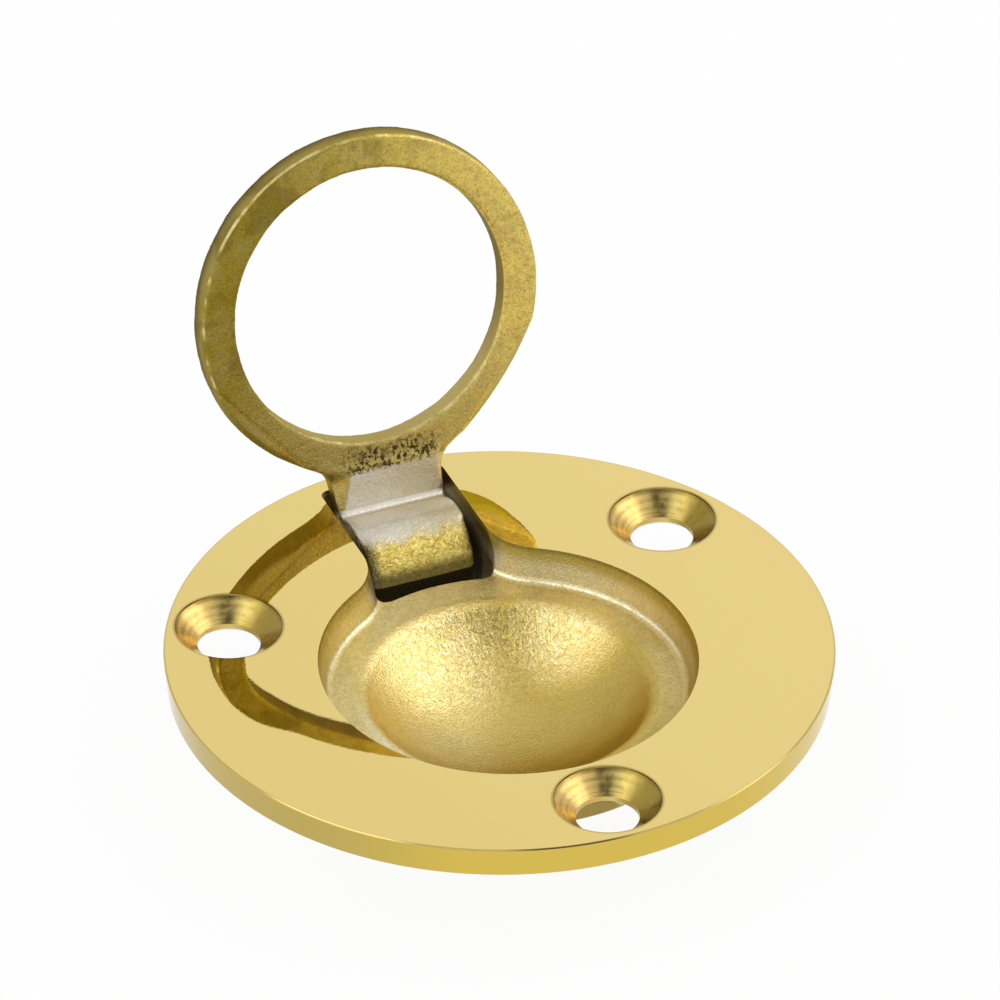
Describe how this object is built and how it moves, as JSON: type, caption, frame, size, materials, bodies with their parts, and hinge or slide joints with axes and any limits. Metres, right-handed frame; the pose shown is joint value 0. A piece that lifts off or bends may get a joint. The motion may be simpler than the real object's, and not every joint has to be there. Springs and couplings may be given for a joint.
{
  "type": "ring pull handle",
  "caption": "Flush brass ring pull: round screw-on base with a finger bowl and keyhole pocket, and a hinged ring that folds down flush.",
  "frame": {"origin": "centre of the round flange on its mounting face, the plane of the surface that the pull is let into", "axes": "+Z out of that surface, through the flange's polished face; +Y towards the hinge; +X along the hinge axis"},
  "size_m": [0.063, 0.0693, 0.047],
  "materials": {
    "polished_brass": "mirror polished face, satin as-cast pocket",
    "cast_brass": "tumbled, as cast",
    "drawn_brass": "drawn rod"
  },
  "bodies": {
    "base": {"base_plate": "polished_brass", "hinge_pin": "drawn_brass"},
    "ring": {"ring_handle": "cast_brass"}
  },
  "joints": [
    {"name": "ring_hinge", "type": "hinge", "parent": "base", "child": "ring", "pos_m": [0, 0.02285, -0.00195], "axis": [1, 0, 0], "range_deg": [0, 104]}
  ]
}
